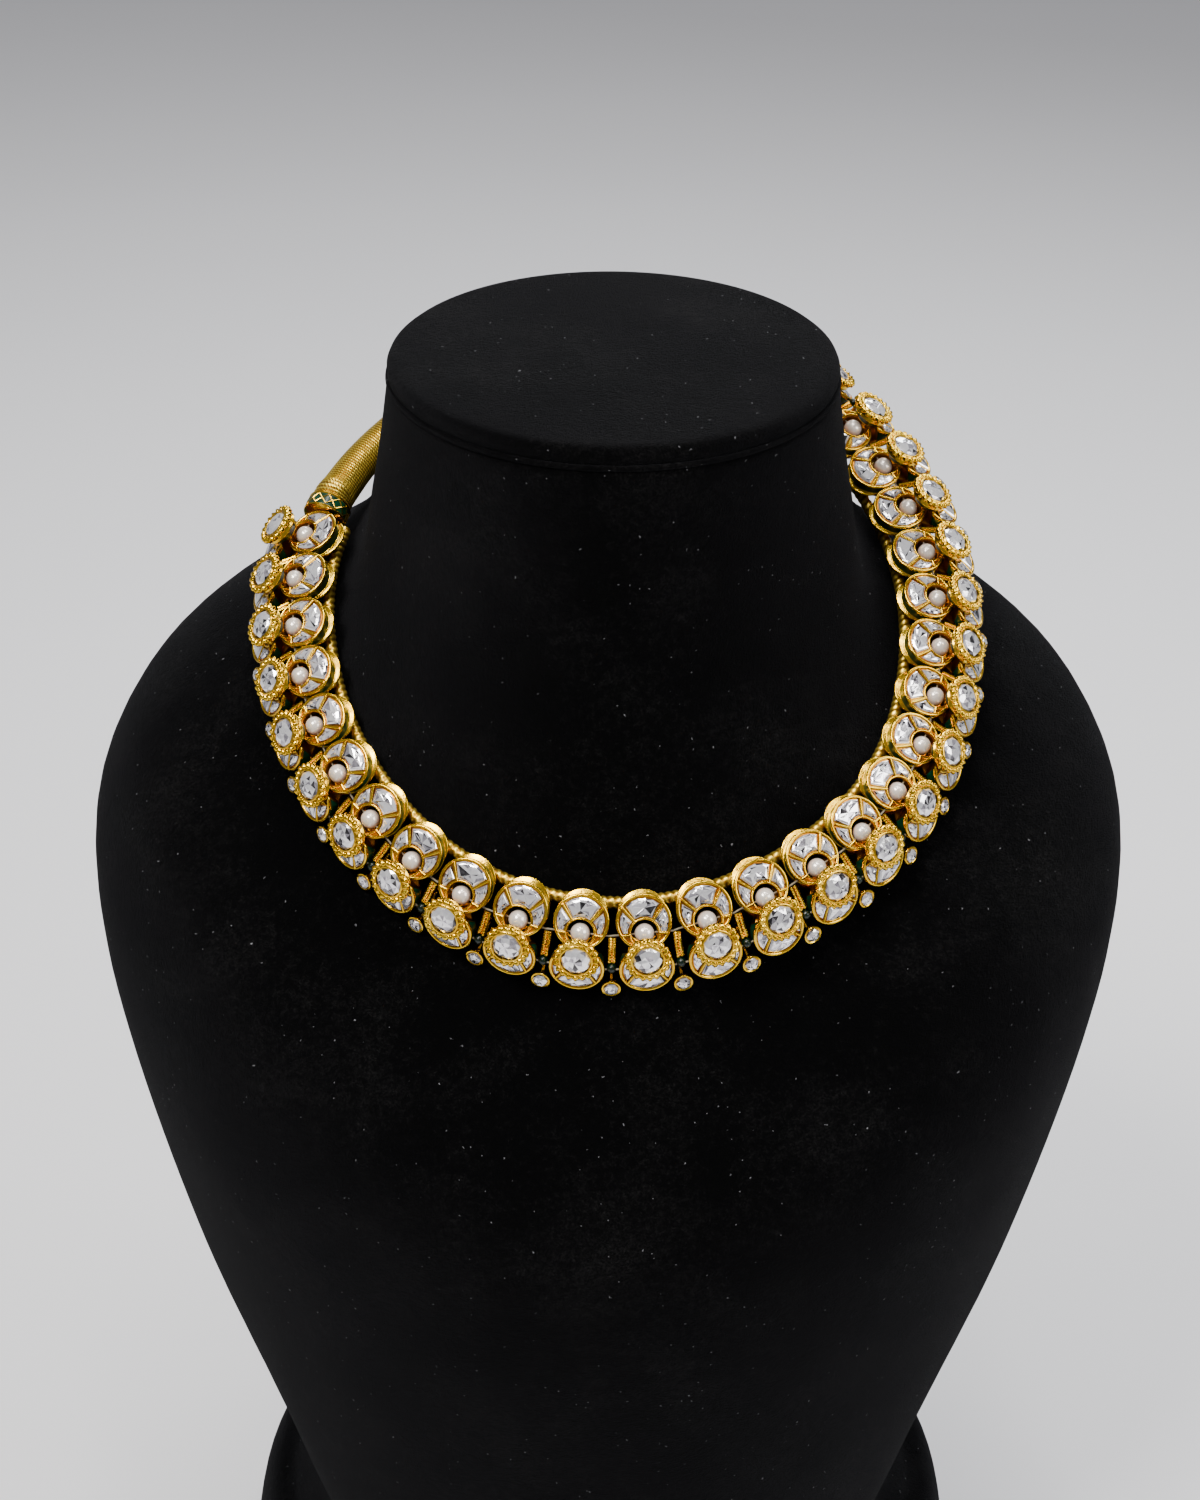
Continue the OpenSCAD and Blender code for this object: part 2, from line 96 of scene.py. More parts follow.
# Line of the necklace: angle from the front, radius, drop below the cap's seam, slope of the face
LINE = [
    (-180, 61.3, 23.4, 73), (-150, 62, 30.3, 53), (-120, 65.1, 44.6, 15),
    (-90, 68.5, 61.4, 20), (-60, 69.1, 83.7, 42), (-30, 68.5, 100.6, 59),
    (0, 69.2, 106.6, 60), (30, 70.2, 101.8, 49), (60, 73, 88.4, 39),
    (90, 71.8, 66.6, 12), (120, 68.7, 47.5, -12), (150, 63.6, 30.3, 12)]

# Belts of the bust: drops below the cap's seam and radii, from the front to the back in
# steps of 30 degrees
BELTS = [
    ((5.3,) * 7, (52.3,) * 7),
    ((52, 51, 45, 35, 25, 17, 15), (53, 53, 54, 57, 56, 55, 55)),
    ((106, 101, 83, 62.5, 43, 30, 27), (66, 66.5, 66, 64, 61, 57, 56)),
    ((127, 122, 103, 76, 60, 52, 50), (78, 79, 83, 84, 76, 70, 67)),
    ((153, 147, 128, 100, 88, 88, 90), (93, 99, 115, 122, 110, 87, 77)),
    ((196, 187, 166, 146, 146, 150, 155), (107, 112, 124, 132, 122, 96, 84)),
    ((262, 260, 255, 250, 245, 240, 240), (104, 105, 109, 117, 109, 91, 82)),
    ((325,) * 7, (94, 94, 94, 91, 86, 80, 76)),
    ((360,) * 7, (84, 84, 85, 85, 81, 76, 73)),
    ((377,) * 7, (82, 83, 89, 95, 95, 89, 86)),
    ((391, 390, 388, 387, 387, 388, 388), (82, 85, 97, 106, 109, 103, 100)),
    ((430,) * 7, (85, 90, 103, 113, 117, 111, 108))]


# Line and frames of the necklace

def through(before, start, end, after, share):
    """Smooth value between the second and third of four neighbours."""
    return 0.5 * (
        2 * start + (end - before) * share
        + (2 * before - 5 * start + 4 * end - after) * share ** 2
        + (3 * start - before - 3 * end + after) * share ** 3)


def mix(a, b, share):
    """Straight blend of two values."""
    return a + (b - a) * share


def line_value(angle, column):
    """A column of the line's table at an angle, smooth between its rows."""
    place = (angle + 180) / TABLE_ANGLE
    row = math.floor(place)
    near = [LINE[(row + k) % len(LINE)][column] for k in (-1, 0, 1, 2)]
    return through(*near, place - row)


def line_point(angle):
    """Point on the necklace's line at an angle from the front."""
    turn = math.radians(angle)
    radius = line_value(angle, 1)
    return Vector((
        radius * math.sin(turn), -radius * math.cos(turn), BUST_HEIGHT - line_value(angle, 2)))


def along(angle):
    """Direction of the line towards growing angles."""
    return (line_point(angle + 0.5) - line_point(angle - 0.5)).normalized()


def necklace_frame(angle):
    """Frame on the line: x back along it, y out across the face, z up from the face."""
    run = along(angle)
    level_up = (Vector((0, 0, 1)) - run.z * run).normalized()
    level_out = run.cross(level_up)
    slope = math.radians(line_value(angle, 3))
    up = math.cos(slope) * level_up + math.sin(slope) * level_out
    out = math.cos(slope) * level_out - math.sin(slope) * level_up
    return Matrix.Translation(line_point(angle)) @ Matrix((-run, out, up)).transposed().to_4x4()


def necklace_point(angle, place):
    """Point at a distance out and up from the line."""
    return necklace_frame(angle) @ Vector((0, place[0], place[1]))


def face_runs():
    """Runs along the faces of the upper settings, every three degrees."""
    points = [necklace_point(a, (UPPER_OUT, FACE_HEIGHT)) for a in range(-180, 184, RUN_ANGLE)]
    runs = [0]
    for here, there in zip(points, points[1:]):
        runs.append(runs[-1] + (there - here).length)
    return runs


RUNS = face_runs()


def angle_at(run):
    """Angle from the front at a run along the faces."""
    k = bisect.bisect_right(RUNS, run) - 1
    return RUN_ANGLE * (k + (run - RUNS[k]) / (RUNS[k + 1] - RUNS[k])) - 180


def unit_runs():
    """Runs of the units' middles, closer together towards the ends."""
    runs = [FIRST_UNIT_RUN]
    for k in range(UNIT_COUNT - 1):
        share = (k + 0.5 - MIDDLE_UNIT) / PITCH_REACH
        runs.append(runs[-1] + max(FRONT_PITCH - PITCH_FALL * share ** 2, LEAST_PITCH))
    return runs


UNIT_RUNS = unit_runs()
UNIT_ANGLES = [angle_at(run) for run in UNIT_RUNS]
GAP_ANGLES = [angle_at((a + b) / 2) for a, b in zip(UNIT_RUNS, UNIT_RUNS[1:])]
LEFT_END = angle_at(UNIT_RUNS[0] - LEFT_END_ROOM)
RIGHT_END = angle_at(UNIT_RUNS[-1] + RIGHT_END_ROOM)
LOWER_TILT = Matrix.Rotation(-LOWER_SLOPE, 4, "X")
LOWER_FACE = Matrix.Translation((0, LOWER_OUT, LOWER_HEIGHT)) @ LOWER_TILT
STUD_TILT = Matrix.Rotation(-STUD_SLOPE, 4, "X")
STUD_FACE = Matrix.Translation((0, STUD_OUT, STUD_HEIGHT)) @ STUD_TILT


# Shapes, in millimetres

def wrapped(across, lengthwise, place, material=0, bands=None):
    """A grid whose points are laid on a surface: place(turn, run) for shares from 0 to 1.

    Bands give each row of faces its own material."""
    part = bmesh.new()
    part.loops.layers.uv.new("wrap")
    bmesh.ops.create_grid(part, x_segments=across, y_segments=lengthwise, size=1, calc_uvs=True)
    for face in part.faces:
        row = math.floor((face.calc_center_median().y + 1) / 2 * lengthwise)
        face.smooth = True
        face.material_index = bands[row] if bands else material
    for vert in part.verts:
        vert.co = place((vert.co.x + 1) / 2, (vert.co.y + 1) / 2)
    bmesh.ops.remove_doubles(part, verts=part.verts, dist=1e-4)
    return part


def ringed(rings, sides, material=0, bands=None):
    """A surface through level circles, each with the distance out of its middle, radius, height."""
    last = len(rings) - 1

    def place(turn, run):
        centre, radius, height = rings[round(run * last)]
        angle = 2 * math.pi * turn
        return Vector((radius * math.cos(angle), centre + radius * math.sin(angle), height))
    return wrapped(sides, last, place, material, bands)


def fill_ends(part, material=0):
    """Closes the open ends of a surface."""
    rim = [edge for edge in part.edges if edge.is_boundary]
    for face in bmesh.ops.holes_fill(part, edges=rim, sides=0)["faces"]:
        face.material_index = material


def turned(profile, sides, material=0, bands=None):
    """A solid of revolution about the upright axis from (radius, height) pairs."""
    part = ringed([(0, radius, height) for radius, height in profile], sides, material, bands)
    fill_ends(part, material)
    return part


def join(mesh, part, matrix=None):
    """Moves a part made on its own into place and adds it to a mesh."""
    bmesh.ops.recalc_face_normals(part, faces=part.faces)
    if matrix is not None:
        bmesh.ops.transform(part, matrix=matrix, verts=part.verts)
    held = bpy.data.meshes.new("held")
    part.to_mesh(held)
    part.free()
    mesh.from_mesh(held)
    bpy.data.meshes.remove(held)


def rod(start, end, radius, sides=8, ribs=0, swell=0.0):
    """A straight rod between two points, ribbed if asked, with closed ends."""
    run = end - start
    turn = run.to_track_quat("Z", "Y").to_matrix().to_4x4()
    steps = max(ribs * 4, 1)
    profile = []
    for k in range(steps + 1):
        bulge = swell * (0.5 - 0.5 * math.cos(2 * math.pi * k * ribs / steps)) if ribs else 0
        profile.append((radius * (1 - swell * bool(ribs)) + radius * bulge, run.length * k / steps))
    part = turned(profile, sides)
    bmesh.ops.transform(part, matrix=Matrix.Translation(start) @ turn, verts=part.verts)
    return part


def finish_piece(mesh, name, materials, stands_for=(), sharp=30):
    """Turns a mesh into a finished piece in metres that rides on the one body."""
    bmesh.ops.scale(mesh, vec=(MILLIMETRE,) * 3, verts=mesh.verts)
    data = bpy.data.meshes.new(name)
    mesh.to_mesh(data)
    mesh.free()
    data.set_sharp_from_angle(angle=math.radians(sharp))
    for material in materials:
        data.materials.append(material)
    piece = bpy.data.objects.new(name, data)
    bpy.context.scene.collection.objects.link(piece)
    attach(piece, "root")
    if stands_for:
        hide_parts(*stands_for)
    return piece


# Materials

class Signal:
    """An output of a node; arithmetic on it adds Math nodes."""

    def __init__(self, finish, socket):
        self.finish = finish
        self.socket = socket

    def math(self, operation, *values):
        inputs = dict(enumerate(values))
        return self.finish.node("ShaderNodeMath", {"operation": operation}, inputs)

    def __add__(self, other):
        return self.math("ADD", self, other)

    def __sub__(self, other):
        return self.math("SUBTRACT", self, other)

    def __rsub__(self, other):
        return self.math("SUBTRACT", other, self)

    def __mul__(self, other):
        return self.math("MULTIPLY", self, other)

    def __pow__(self, other):
        return self.math("POWER", self, other)

    __radd__ = __add__
    __rmul__ = __mul__

    def above(self, edge):
        return self.math("GREATER_THAN", self, edge)

    def below(self, edge):
        return self.math("LESS_THAN", self, edge)

    def wave(self):
        return self.math("SINE", self)

    def held(self):
        """The value kept between 0 and 1."""
        return self.finish.node(
            "ShaderNodeMath", {"operation": "MULTIPLY", "use_clamp": True}, {0: self, 1: 1})


class Finish:
    """A material whose nodes are added one by one."""

    def __init__(self, name):
        self.material = bpy.data.materials.new(name)
        self.material.use_nodes = True
        self.tree = self.material.node_tree
        self.tree.nodes.clear()

    def node(self, kind, settings=None, inputs=None, output=0):
        made = self.tree.nodes.new(kind)
        for key, value in (settings or {}).items():
            if key == "stops":
                self.set_stops(made.color_ramp, value)
            else:
                setattr(made, key, value)
        for key, value in (inputs or {}).items():
            if isinstance(value, Signal):
                self.tree.links.new(value.socket, made.inputs[key])
            else:
                made.inputs[key].default_value = value
        return Signal(self, made.outputs[output]) if len(made.outputs) else None

    @staticmethod
    def set_stops(ramp, stops):
        while len(ramp.elements) < len(stops):
            ramp.elements.new(1)
        for element, (place, colour) in zip(ramp.elements, stops):
            element.position = place
            element.color = (*colour, 1)

    def place(self):
        return self.node("ShaderNodeTexCoord", output="Object")

    def wrap(self):
        return self.node("ShaderNodeUVMap", {"uv_map": "wrap"})

    def noise(self, scale, detail=3, roughness=0.5, place=None):
        inputs = {
            "Vector": place or self.place(), "Scale": scale, "Detail": detail,
            "Roughness": roughness}
        return self.node("ShaderNodeTexNoise", inputs=inputs, output="Fac")

    def mixed(self, share, first, second):
        """A colour between two others."""
        first = first if isinstance(first, Signal) else (*first, 1)
        second = second if isinstance(second, Signal) else (*second, 1)
        return self.node(
            "ShaderNodeMix", {"data_type": "RGBA"}, {0: share, 6: first, 7: second}, output=2)

    def bump(self, height, distance, strength=1.0):
        inputs = {"Height": height, "Distance": distance, "Strength": strength}
        return self.node("ShaderNodeBump", inputs=inputs)

    def surface(self, **sockets):
        """The finished surface; names are the shader's sockets with underscores."""
        inputs = {}
        for key, value in sockets.items():
            if isinstance(value, tuple) and len(value) == 3:
                value = (*value, 1)
            inputs[key.replace("_", " ")] = value
        shader = self.node("ShaderNodeBsdfPrincipled", inputs=inputs)
        self.node("ShaderNodeOutputMaterial", inputs={"Surface": shader})
        return self.material


def gold_finish(name, bright, deep, roughness):
    """Polished gold with soft hand-worked unevenness and a warmer tone in patches."""
    finish = Finish(name)
    patches = finish.noise(220, 3)
    fine = finish.noise(1500, 4, 0.6)
    tone = ((patches - 0.45) * 2.2).held()
    height = patches * 0.7 + fine * 0.3
    return finish.surface(
        Base_Color=finish.mixed(tone, deep, bright),
        Metallic=1.0,
        Roughness=fine * 0.16 + roughness,
        Normal=finish.bump(height, 0.00036, 0.5))


def enamel_finish(name, colour):
    """Glassy dark green enamel, a little uneven in depth."""
    finish = Finish(name)
    depth = finish.noise(500, 2)
    light = tuple(min(channel * 3.2, 1) for channel in colour)
    return finish.surface(
        Base_Color=finish.mixed(((depth - 0.4) * 1.6).held(), colour, light),
        Roughness=0.3,
        Specular_IOR_Level=0.3,
        Coat_Weight=0.25,
        Coat_Roughness=0.1,
        Normal=finish.bump(depth, 0.0002, 0.4))


def polki_finish():
    """Uncut diamond over silver foil under a clear coat, with bright, lilac and dark facets as
    painted reflections.
    """
    finish = Finish("polki_stone")
    facet = finish.node("ShaderNodeAttribute", {"attribute_name": "facet"}, output="Fac")
    cloud = finish.noise(900, 2, 0.6)
    tone = (facet + cloud * 0.5 - 0.25).held()
    # Tones of the painted reflections, from dark to bright.
    stops = [
        (0.0, (0.012, 0.011, 0.012)), (0.18, (0.13, 0.12, 0.13)), (0.42, (0.5, 0.47, 0.52)),
        (0.66, (0.84, 0.82, 0.86)), (1.0, (1.0, 0.99, 0.98))]
    colour = finish.node("ShaderNodeValToRGB", {"stops": stops}, {"Fac": tone})
    return finish.surface(
        Base_Color=colour,
        Metallic=0.72,
        Roughness=cloud * 0.16 + 0.05,
        Coat_Weight=1.0,
        Coat_Roughness=0.02,
        Normal=finish.bump(cloud, 0.0001, 0.5))


def pearl_finish():
    """Creamy pearl with a faint pink overtone."""
    finish = Finish("pearl_skin")
    clouds = finish.noise(420, 3)
    colour = finish.mixed(clouds, (0.74, 0.63, 0.56), (0.72, 0.68, 0.6))
    return finish.surface(
        Base_Color=colour,
        Roughness=clouds * 0.1 + 0.16,
        Metallic=0.3,
        Coat_Weight=1.0,
        Coat_Roughness=0.08)


def velvet_finish():
    """Black velvet: brushed pile with grey nap, a soft sheen and stray white lint."""
    finish = Finish("black_velvet")
    place = finish.place()
    pile = finish.noise(1900, 4, 0.75)
    brushed = finish.noise(34, 5, 0.65)
    fibres = finish.noise(620, 6, 0.8)
    stray = finish.node(
        "ShaderNodeTexNoise", inputs={"Vector": place, "Scale": 900}, output="Color")
    bent = finish.node("ShaderNodeVectorMath", {"operation": "SCALE"}, {0: stray, "Scale": 0.0016})
    bent = finish.node("ShaderNodeVectorMath", {"operation": "ADD"}, {0: place, 1: bent})
    size = {"Vector": bent, "Scale": 400}
    near = finish.node("ShaderNodeTexVoronoi", {"feature": "F1"}, size, "Distance")
    drawn = finish.node("ShaderNodeTexVoronoi", {"feature": "F1"}, size, "Color")
    pick = finish.node("ShaderNodeSeparateColor", inputs={"Color": drawn})
    lint = (near.below(0.075) * pick.above(0.5)).held() * (brushed * 1.4 - 0.25).held()
    nap = ((fibres * 0.7 + brushed * 0.5 - 0.58) * 5).held() * ((pile - 0.42) * 4).held()
    dark = finish.mixed(brushed, (0.0004, 0.0004, 0.0005), (0.0016, 0.0016, 0.0018))
    furred = finish.mixed(nap, dark, (0.014, 0.0135, 0.0135))
    return finish.surface(
        Base_Color=finish.mixed(lint, furred, (0.3, 0.3, 0.32)),
        Roughness=0.95,
        Specular_IOR_Level=0.03,
        Sheen_Weight=0.065,
        Sheen_Roughness=0.28,
        Sheen_Tint=(0.34, 0.34, 0.38),
        Normal=finish.bump(pile * 0.5 + fibres * 0.5, 0.0012, 1.0))


def felt_finish():
    """Plain black felt under the foot."""
    finish = Finish("black_felt")
    fibres = finish.noise(1800, 4, 0.7)
    return finish.surface(
        Base_Color=finish.mixed(fibres, (0.004, 0.004, 0.005), (0.02, 0.02, 0.022)),
        Roughness=0.95,
        Normal=finish.bump(fibres, 0.0004, 0.8))


def wound_finish(name, turns, slant, strands, bright, deep):
    """Metal thread wound round a cord: painted highlights on the ribs, painted shade in the grooves
    and between the fine twisted strands.
    """
    finish = Finish(name)
    around = finish.node("ShaderNodeSeparateXYZ", inputs={"Vector": finish.wrap()})
    run = finish.node("ShaderNodeSeparateXYZ", inputs={"Vector": finish.wrap()}, output=1)
    # The stripes follow the cord's own windings: bright ribs are painted highlight, dark grooves
    # and lines between strands painted shade.
    rib = ((run * turns + around * slant + 0.25) * 2 * math.pi).wave() * 0.5 + 0.5
    strand = ((around * strands + run * turns) * 2 * math.pi).wave()
    grain = finish.noise(1600, 3, 0.6)
    tone = (rib * 0.85 + strand * 0.12 + grain * 0.5 - 0.2).held()
    return finish.surface(
        Base_Color=finish.mixed(tone, deep, bright),
        Metallic=0.9,
        Roughness=grain * 0.2 + 0.24,
        Normal=finish.bump(strand * 0.4 + grain * 0.6, 0.00012, 0.6))


def thread_finish():
    """Dull pale cotton thread."""
    finish = Finish("pale_thread")
    fibres = finish.noise(2400, 2)
    return finish.surface(
        Base_Color=finish.mixed(fibres, (0.16, 0.13, 0.08), (0.34, 0.29, 0.2)),
        Roughness=0.9,
        Normal=finish.bump(fibres, 0.00008, 0.6))


def floor_finish():
    """Pale studio floor."""
    finish = Finish("pale_floor")
    mottle = finish.noise(3, 3)
    return finish.surface(
        Base_Color=finish.mixed(mottle, (0.78, 0.77, 0.79), (0.82, 0.81, 0.83)),
        Roughness=0.6)


GOLD = gold_finish("gold", (0.97, 0.69, 0.07), (0.7, 0.4, 0.015), 0.11)
# Darkened orange-brown gold: painted shade for the units' recesses, hollows and undersides.
SHADED_GOLD = gold_finish("shaded_gold", (0.8, 0.38, 0.02), (0.42, 0.15, 0.006), 0.24)
ENAMEL = enamel_finish("green_enamel", (0.0008, 0.02, 0.008))
BEAD_GLASS = enamel_finish("dark_green_glass", (0.0004, 0.006, 0.003))
POLKI = polki_finish()
PEARL = pearl_finish()
VELVET = velvet_finish()
FELT = felt_finish()
THREAD = thread_finish()


# Stones

def ray_end(ray, margin):
    """Distance from the hole's middle to the inside of the rim along a ray."""
    turn = math.radians(ray)
    reach = SETTING_RADIUS - RIM_WIDTH - margin
    aside = HOLE_SHIFT * math.sin(turn)
    return HOLE_SHIFT * math.cos(turn) + math.sqrt(reach ** 2 - aside ** 2)


def ray_point(ray, reach, height):
    """Point on a ray from the hole's middle."""
    turn = math.radians(ray)
    return Vector((reach * math.sin(turn), HOLE_SHIFT - reach * math.cos(turn), height))


def cell_outline(cell, margin, height, steps=5):
    """Outline of a cell of the crescent, in the frame of a setting whose hole lies towards +y."""
    inner = HOLE_RADIUS + CELL_WALL + margin
    turn = math.degrees(math.asin(margin / (inner + 1)))
    first = cell[0] + turn
    last = cell[1] - turn
    far = [mix(first, last, k / steps) for k in range(steps + 1)]
    near = [mix(last, first, k / 3) for k in range(4)]
    return ([ray_point(ray, ray_end(ray, margin), height) for ray in far]
            + [ray_point(ray, inner, height) for ray in near])


def uneven(chance, across, low, high):
    """A small shift of a corner, as in a stone ground by hand."""
    aside = chance.uniform(-across, across)
    back = chance.uniform(-across, across)
    return Vector((aside, back, chance.uniform(low, high)))


def painted_facet_reflections(mesh, chance):
    """Gives every one of the facets its own painted reflection: dark, grey or bright."""
    layer = mesh.faces.layers.float.new("facet")
    for face in mesh.faces:
        draw = chance.random()
        if draw < 0.12:
            face[layer] = 0.05
        elif draw < 0.32:
            face[layer] = 0.35
        else:
            face[layer] = 0.65 + 0.35 * chance.random()


def cut_faces(mesh, chance, tilt):
    """Breaks the flat table of a stone into small tilted facets round an off-centre point."""
    tables = [f for f in mesh.faces if len(f.verts) > 5]
    poked = bmesh.ops.poke(mesh, faces=tables)
    for vert in poked["verts"]:
        vert.co.x += chance.uniform(-0.5, 0.5)
        vert.co.y += chance.uniform(-0.5, 0.5)
        vert.co.z += chance.uniform(0, tilt)
    upper = [f for f in poked["faces"] if f.calc_center_median().z > 0 and chance.random() < 0.6]
    for vert in bmesh.ops.poke(mesh, faces=upper)["verts"]:
        vert.co.z += chance.uniform(-0.05, 0.07)


def cell_stone(cell, chance):
    """A polki stone cut to a cell, with a bevelled crown and an uneven faceted table."""
    stone = bmesh.new()
    margin = chance.uniform(0.12, 0.34)
    foot = [stone.verts.new(p) for p in cell_outline(cell, margin, -0.45)]
    stone.faces.new(foot)
    side = bmesh.ops.extrude_face_region(stone, geom=list(stone.faces))
    top = [g for g in side["geom"] if isinstance(g, bmesh.types.BMFace)]
    for vert in {v for f in top for v in f.verts}:
        vert.co.z = 0.02
    bmesh.ops.inset_region(stone, faces=top, thickness=0.42, depth=0.3)
    bmesh.ops.inset_region(stone, faces=top, thickness=0.5, depth=0.14)
    stone.verts.index_update()
    for vert in sorted({v for f in top for v in f.verts}, key=lambda v: v.index):
        vert.co += uneven(chance, 0.2, -0.08, 0.12)
    cut_faces(stone, chance, 0.12)
    bmesh.ops.triangulate(stone, faces=stone.faces)
    painted_facet_reflections(stone, chance)
    return stone


def round_stone(radius, rise, depth, sides, chance):
    """A round polki stone with two rows of facets under an uneven table."""
    stone = bmesh.new()
    levels = [
        (radius, -depth, 0), (radius, 0.05, 0), (radius * 0.8, rise * 0.62, 0.5),
        (radius * 0.48, rise, 0)]
    for level_radius, height, turn in levels:
        spin = Matrix.Rotation(turn * 2 * math.pi / sides, 4, "Z")
        bmesh.ops.create_circle(
            stone, segments=sides, radius=level_radius,
            matrix=Matrix.Translation((0, 0, height)) @ spin)
    stone.verts.ensure_lookup_table()
    rings = [list(stone.verts)[k * sides:(k + 1) * sides] for k in range(4)]
    for low, high in zip(rings, rings[1:]):
        edges = {e for v in low + high for e in v.link_edges if e.other_vert(v) in low + high}
        open_edges = [e for e in edges if len(e.link_faces) < 2]
        bmesh.ops.bridge_loops(stone, edges=open_edges)
    fill_ends(stone)
    for vert in rings[2] + rings[3]:
        vert.co += uneven(chance, 0.12, -0.1, 0.1)
    cut_faces(stone, chance, 0.1)
    bmesh.ops.triangulate(stone, faces=stone.faces)
    painted_facet_reflections(stone, chance)
    return stone


def stone_piece(name, stands_for, stones):
    """All stones of one kind in one mesh; each entry is a stone and its place."""
    mesh = bmesh.new()
    mesh.faces.layers.float.new("facet")
    for stone, place in stones:
        join(mesh, stone, place)
    return finish_piece(mesh, name, [POLKI], stands_for, sharp=1)


# Gold units

def crescent_setting(centre, face, foot, foot_radius):
    """Round setting with a rolled rim, enamelled side and floor for its stones; the floor and inner
    wall are darkened gold, painted shade.
    """
    r = SETTING_RADIUS
    rings = [
        (centre, foot_radius - 0.15, foot),
        (centre, foot_radius + 0.12, foot + 0.06),
        (centre, foot_radius + 0.12, foot + 0.22),
        (centre, foot_radius - 0.02, foot + 0.28),
        (centre, r - 0.12, face - 0.52),
        (centre, r - 0.02, face - 0.48),
        (centre, r + 0.02, face - 0.34),
        (centre, r, face - 0.12),
        (centre, r - 0.12, face + 0.04),
        (centre, r - 0.34, face + 0.12),
        (centre, r - 0.58, face + 0.04),
        (centre, r - RIM_WIDTH, face - 0.14),
        (centre, r - RIM_WIDTH, face - 0.5),
        (centre + 2.5, 3.1, face - 0.5),
        (centre + 2.5, 3.1, foot),
        (centre, foot_radius - 0.15, foot)]
    return ringed(rings, 40, bands=[0, 0, 0, 1, 0, 0, 0, 0, 0, 0, 0, 0, 2, 2, 2])


def hole_collar(top, low):
    """Wall round the pearl, from the face down through the unit; its inside is darkened gold,
    painted shade.
    """
    centre = UPPER_OUT + HOLE_SHIFT
    rings = [
        (centre, HOLE_RADIUS, low),
        (centre, HOLE_RADIUS, top - 0.1),
        (centre, HOLE_RADIUS + 0.1, top + 0.02),
        (centre, HOLE_RADIUS + 0.36, top + 0.02),
        (centre, HOLE_RADIUS + 0.46, top - 0.1),
        (centre, HOLE_RADIUS + 0.46, low),
        (centre, HOLE_RADIUS, low)]
    return ringed(rings, 36, bands=[2, 0, 0, 0, 0, 0])


def cell_walls(centre, face):
    """Thin gold walls between the stones, on the rays from the hole."""
    part = bmesh.new()
    for ray in (-92, -36.5, 36.5, 92):
        near = ray_point(ray, HOLE_RADIUS + 0.2, face - 0.02)
        far = ray_point(ray, ray_end(ray, 0) + 0.2, face - 0.02)
        shift = Vector((0, centre, 0))
        join(part, rod(near + shift, far + shift, 0.33, 8))
    return part


def rope_bezel(radius, thickness, lobes, flat):
    """A ring of twisted wire lobes."""
    def place(turn, run):
        round_the_wire = 2 * math.pi * turn
        round_the_stud = 2 * math.pi * run
        swell = 1 + 0.32 * math.cos(lobes * round_the_stud + round_the_wire)
        out = radius + thickness * swell * math.cos(round_the_wire)
        return Vector((
            out * math.cos(round_the_stud), out * math.sin(round_the_stud),
            thickness * flat * swell * math.sin(round_the_wire)))
    return wrapped(10, lobes * 8, place)


def stud():
    """Raised stud: enamelled cup, wall and rope bezel round its stone."""
    part = bmesh.new()
    # The inner wall of the cup is darkened gold, painted shade.
    cup = turned([
        (2.15, -4.35), (2.4, -4.3), (2.75, -4.22), (2.8, -4.05), (2.95, -3.9), (3.7, -3.2),
        (4.15, -2.4), (4.4, -2.25), (4.6, -2.1), (4.6, -1.95), (4.4, -1.8), (4.4, -0.6),
        (4.0, 0.3), (3.75, 0.5), (3.55, 0.46), (3.45, 0.1), (3.45, -0.6)], 32,
        bands=[0, 0, 0, 0, 1, 1, 0, 0, 0, 0, 0, 0, 0, 0, 0, 0, 2])
    join(part, cup)
    join(part, rope_bezel(4.5, 0.78, 19, 0.95), Matrix.Translation((0, 0, -0.28)))
    return part


